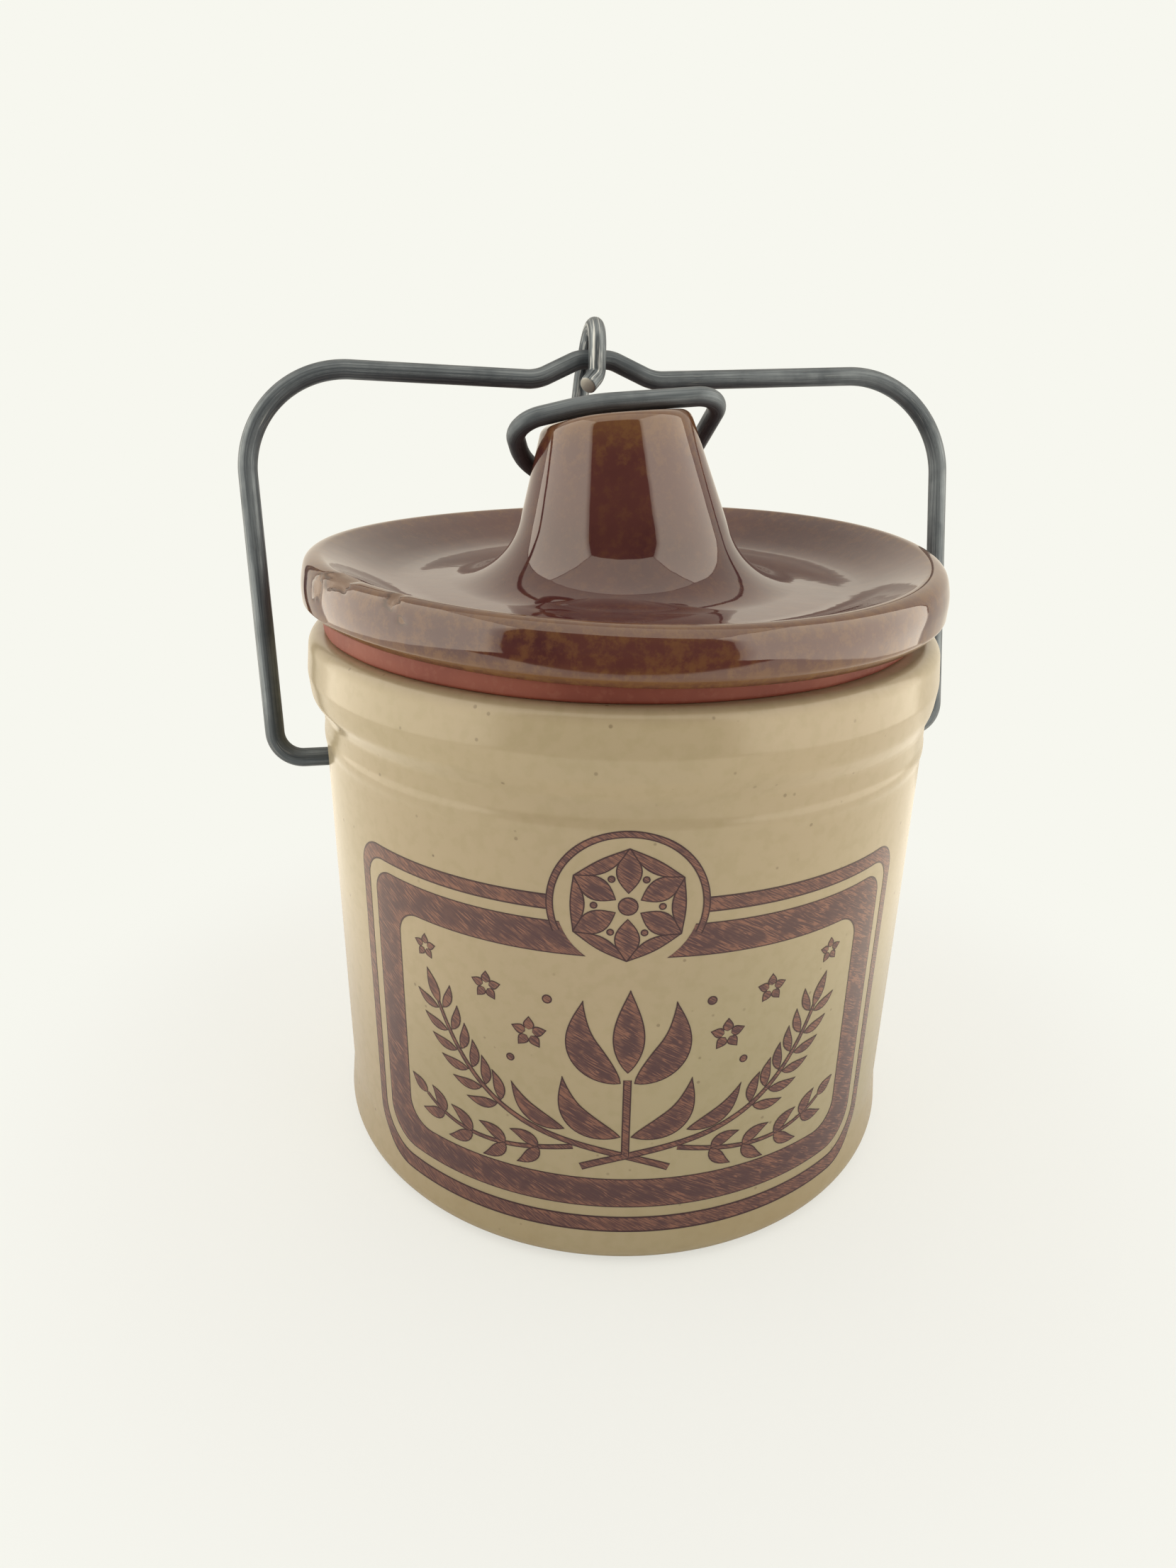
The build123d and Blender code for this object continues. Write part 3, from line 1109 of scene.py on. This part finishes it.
def steel(name, tint, worn_length, worn_fade=6):
    """Dull zinc-coated wire with the lengthwise marks of drawing, more worn along its first stretch."""
    shader = Shader(name, 0.5, metallic=0.75)
    along = shader.node("UVMap", 0, uv_map="along")
    length = shader.node("SeparateXYZ", 0, {"Vector": along})
    worn = shader.between(length, worn_length, worn_length + worn_fade, 1, 0)
    drawn = shader.noise(shader.stretch(along, (0.05, 3.2, 1)), 1.0, 4, 0.6)
    blotch = shader.noise(shader.place(), 90, 4, 0.6)
    tone = shader.mix(shader.between(drawn, 0.35, 0.7), linear(*tint), linear(116, 123, 128))
    tone = shader.mix(shader.between(blotch, 0.4, 0.65, 0, 0.6), tone, linear(65, 71, 77))
    streak = shader.noise(shader.stretch(along, (0.07, 1.5, 1)), 1.0, 3, 0.6)
    dark_streak = shader.times(shader.between(streak, 0.38, 0.44, 0.85, 0), worn)
    pale_streak = shader.times(shader.between(streak, 0.55, 0.60, 0, 0.8), worn)
    tone = shader.mix(dark_streak, tone, linear(40, 43, 46))
    tone = shader.mix(pale_streak, tone, linear(185, 188, 188))
    scratch = shader.noise(shader.stretch(along, (0.12, 9.0, 1)), 1.0, 2, 0.5)
    mark = shader.times(shader.between(scratch, 0.62, 0.70), shader.between(blotch, 0.5, 0.6))
    tone = shader.mix(shader.times(mark, 0.7), tone, linear(168, 170, 168))
    tone = shader.mix(shader.between(length, 0.02, 0.2, 0.9, 0), tone, linear(165, 163, 156))
    shader.colour(tone)
    shader.rough(shader.between(blotch, 0.3, 0.7, 0.42, 0.6))
    shader.bump(drawn, 0.00006, 0.6)
    return shader.material


def ink_material():
    """Brown ink with fine slanting strokes, and flecks near its edges, that let a copper tone through."""
    shader = Shader("print_ink", 0.2, 1.55, specular=0.35)
    flat = shader.node("UVMap", 0, uv_map="print")
    edge = shader.attribute("edge")
    slanted = shader.slant(flat, radians(32))
    grain = shader.noise(shader.stretch(slanted, (0.14, 1.9, 1)), 1.0, 2, 0.5, 0.15)
    near = shader.maths("ABSOLUTE", shader.maths("SUBTRACT", grain, 0.5))
    stroke = shader.between(near, 0.02, 0.05, 1, 0)
    patch = shader.between(shader.noise(flat, 0.3, 3), 0.40, 0.60, 0.15, 1)
    hair = shader.noise(shader.stretch(slanted, (0.35, 5.0, 1)), 1.0, 2, 0.5)
    rim = shader.times(shader.between(edge, 0.4, 1.9, 1, 0), shader.between(hair, 0.46, 0.60))
    copper = shader.maths("MAXIMUM", shader.times(stroke, patch), rim)
    tone = shader.mix(shader.times(copper, 0.85), linear(94, 63, 61), linear(160, 110, 87))
    outline = shader.between(edge, 0.16, 0.32, 1, 0)
    tone = shader.mix(outline, tone, linear(68, 39, 39))
    shader.colour(tone)
    return shader.material


# The pieces

mount(make_crock(), "crock", "crock", crock_glaze())
mount(make_lid(), "lid", "lid", lid_glaze())
mount(make_gasket(), "lid", "gasket", rubber())
mount(make_bail(), "bail", "bail", steel("bail_steel", (79, 85, 91), -10))
mount(make_lever(), "lever", "lever", steel("lever_steel", (84, 91, 97), 30))
ink = ink_material()
for drawing in (make_frame_print(), make_ring_print(), make_rosette_print(), make_garland_print()):
    drawing.piece(ink)

# Camera

camera_data = bpy.data.cameras.new("camera")
camera_data.lens = 23.112
camera_data.sensor_width = 36
camera_data.clip_start = 0.005
camera = add_object("camera", camera_data)
camera_right = (0.98315, -0.18226, 0.01426)
camera_up = (0.05643, 0.37673, 0.92460)
camera_back = (-0.17389, -0.90822, 0.38066)
camera_spot = (-0.045014, -0.198181, 0.156670)
camera.matrix_world = placed(camera_spot, camera_right, camera_up, camera_back)
bpy.context.scene.camera = camera
camera_azimuth = atan2(camera_spot[0], -camera_spot[1])

# Stage and light: the jar stands on white paper in a photographer's tent that is open at the front

stage_white = linear(247, 247, 239)
tent_side = 0.36
tent_front = 0.48
tent_back = 0.17
tent_top = 0.72
tent_low = 0.002
tent_seam = 0.004
tent_dim_depth = 0.10
tent_tint = linear(255, 245, 226)
side_radiance = 1.0
side_shine = 3.15
side_front_share = 0.45
back_radiance = 0.6
back_shine = 1.0
ceiling_radiance = 0.8
ceiling_shine = 1.8
world_fill = 0.12
floor_radius = 6
floor_drop = 0.00005
paper_lift = 0.6
paper_lift_strength = 1.09
paper_shine = 1.5
paper_fade = (0.10, 0.17)
beside_fade = (0.06, 0.15)
front_fade = (-0.30, -0.32)
jar_middle = np.array((0, 0, 0.1))


def tent_place(across, deep, up):
    """A point of the tent, whose open front faces the camera, in metres."""
    side = np.array((cos(camera_azimuth), sin(camera_azimuth), 0))
    away = np.array((-sin(camera_azimuth), cos(camera_azimuth), 0))
    return side * across + away * deep + np.array((0, 0, up))


def make_floor():
    """Wide pale paper, which fades into the background's colour far from the jar."""
    spot = (0, 0, -floor_drop)
    bpy.ops.mesh.primitive_circle_add(vertices=96, radius=floor_radius, fill_type="NGON", location=spot)
    floor = bpy.context.object
    floor.name = "floor"
    shader = Shader("floor_paper", 0.9, specular=0.1)
    shader.colour(linear(250, 249, 244))
    place = shader.place()
    far = shader.node("VectorMath", "Value", {0: place}, operation="LENGTH")
    lift = shader.times(shader.node("LightPath", "Is Camera Ray"), paper_lift)
    paper = shader.cover(lift, shader.surface.outputs[0], shader.glow(stage_white, paper_lift_strength))
    paper = shader.cover(shader.between(far, *paper_fade), paper, shader.glow(stage_white, 1.0))
    # In reflections the paper is bright beside the jar and ends at the tent's open front
    mirrored = shader.node("LightPath", "Is Glossy Ray")
    across = shader.maths("ABSOLUTE", shader.reach(place, tent_place(1, 0, 0)))
    beside = shader.times(shader.between(across, *beside_fade), mirrored)
    paper = shader.cover(beside, paper, shader.glow(tent_tint, paper_shine))
    beyond = shader.between(shader.reach(place, tent_place(0, 1, 0)), *front_fade)
    beyond = shader.times(beyond, mirrored)
    shader.show(shader.cover(beyond, paper, shader.glow(linear(60, 58, 56), 1.0)))
    floor.data.materials.append(shader.material)


def make_world():
    """Pale to the camera, dim in reflections outside the tent, and a soft fill on the jar."""
    world = bpy.data.worlds.new("studio")
    bpy.context.scene.world = world
    nodes = Nodes(world)
    tones = ((stage_white, 1.0), (linear(90, 88, 86), 0.8), (linear(252, 250, 246), world_fill))
    seen, mirrored, fill = [nodes.node("Background", 0, {"Color": a, "Strength": b}) for a, b in tones]
    shade = nodes.cover(nodes.node("LightPath", "Is Glossy Ray"), fill, mirrored)
    shade = nodes.cover(nodes.node("LightPath", "Is Camera Ray"), shade, seen)
    nodes.show(shade, "World Output")


def make_tent_wall(name, spots, radiance, shine, front_share=1.0):
    """A lit wall that shows in reflections, dimmer at its front edge, and a lamp of its size."""
    corners = np.array([tent_place(*spot) for spot in spots])
    middle = corners.mean(axis=0)
    mesh = bpy.data.meshes.new(name)
    mesh.from_pydata(corners.tolist(), [], [[0, 1, 2, 3]])
    wall = add_object(name, mesh)
    shader = Shader(name, 1.0)
    deep = shader.reach(shader.place(), tent_place(0, 1, 0))
    dim_end = tent_dim_depth - tent_front
    strength = shader.between(deep, -tent_front, dim_end, shine * front_share, shine)
    shader.show(shader.glow(tent_tint, strength))
    mesh.materials.append(shader.material)
    for way in ("camera", "diffuse", "shadow", "transmission", "volume_scatter"):
        setattr(wall, "visible_" + way, False)
    right = corners[1] - corners[0]
    up = corners[3] - corners[0]
    back = unit(np.cross(right, up))
    if back @ (middle - jar_middle) < 0:
        right, back = -right, -back
    data = bpy.data.lights.new(name + "_lamp", "AREA")
    data.shape = "RECTANGLE"
    data.size = np.linalg.norm(right)
    data.size_y = np.linalg.norm(up)
    data.energy = radiance * pi * data.size * data.size_y
    lamp = add_object(name + "_lamp", data)
    lamp.matrix_world = placed(middle, unit(right), unit(up), back)
    lamp.visible_camera = False
    lamp.visible_glossy = False


def make_tent():
    """Two sides, a back and a ceiling, which stop just short of each other."""
    left, right = tent_seam - tent_side, tent_side - tent_seam
    front, back = -tent_front, tent_back - tent_seam
    low, high = tent_low, tent_top - tent_seam
    for name, across in (("tent_left", -tent_side), ("tent_right", tent_side)):
        spots = [(across, front, low), (across, back, low), (across, back, high), (across, front, high)]
        make_tent_wall(name, spots, side_radiance, side_shine, side_front_share)
    spots = [(left, tent_back, low), (right, tent_back, low)]
    spots += [(right, tent_back, high), (left, tent_back, high)]
    make_tent_wall("tent_back", spots, back_radiance, back_shine)
    spots = [(left, front, tent_top), (right, front, tent_top)]
    spots += [(right, back, tent_top), (left, back, tent_top)]
    make_tent_wall("tent_ceiling", spots, ceiling_radiance, ceiling_shine)


make_floor()
make_world()
make_tent()

view_settings = bpy.context.scene.view_settings
view_settings.view_transform = "Standard"
